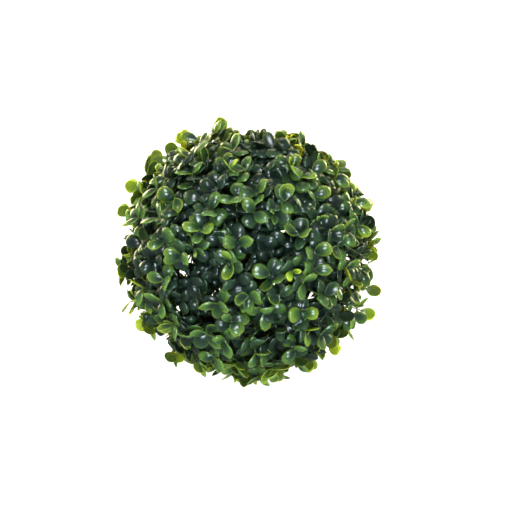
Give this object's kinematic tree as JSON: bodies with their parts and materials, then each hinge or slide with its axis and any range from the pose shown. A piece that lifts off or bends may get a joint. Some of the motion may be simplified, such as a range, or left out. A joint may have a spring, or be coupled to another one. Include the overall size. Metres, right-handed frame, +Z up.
{
  "type": "artificial boxwood ball",
  "caption": "Round artificial box topiary ball: leafy plastic sprays plugged into a split lattice core, on a short flat-footed stem hidden inside.",
  "frame": {"origin": "middle of the flat cut under the hidden stem, on the ground", "axes": "+Z up through the middle of the ball; X and Y level, with -Y towards the viewer"},
  "size_m": [0.2021, 0.1978, 0.2031],
  "materials": {
    "leaves": "glossy moulded plastic, dark green with lighter tips",
    "core": "matt moulded plastic",
    "stem": "matt moulded plastic"
  },
  "bodies": {
    "root": {"stem": "stem", "core_upper_half": "core", "core_lower_half": "core", "spray_crown": "leaves", "spray_upper_middle_1": "leaves", "spray_upper_middle_2": "leaves", "spray_upper_middle_3": "leaves", "spray_upper_middle_4": "leaves", "spray_upper_middle_5": "leaves", "spray_upper_middle_6": "leaves", "spray_upper_middle_7": "leaves", "spray_upper_middle_8": "leaves", "spray_upper_middle_9": "leaves", "spray_upper_middle_10": "leaves", "spray_upper_end_1": "leaves", "spray_upper_end_2": "leaves", "spray_upper_end_3": "leaves", "spray_upper_end_4": "leaves", "spray_upper_end_5": "leaves", "spray_lower_middle_1": "leaves", "spray_lower_middle_2": "leaves", "spray_lower_middle_3": "leaves", "spray_lower_middle_4": "leaves", "spray_lower_middle_5": "leaves", "spray_lower_middle_6": "leaves", "spray_lower_middle_7": "leaves", "spray_lower_middle_8": "leaves", "spray_lower_middle_9": "leaves", "spray_lower_middle_10": "leaves", "spray_lower_end_1": "leaves", "spray_lower_end_2": "leaves", "spray_lower_end_3": "leaves", "spray_lower_end_4": "leaves", "spray_lower_end_5": "leaves"}
  },
  "joints": []
}
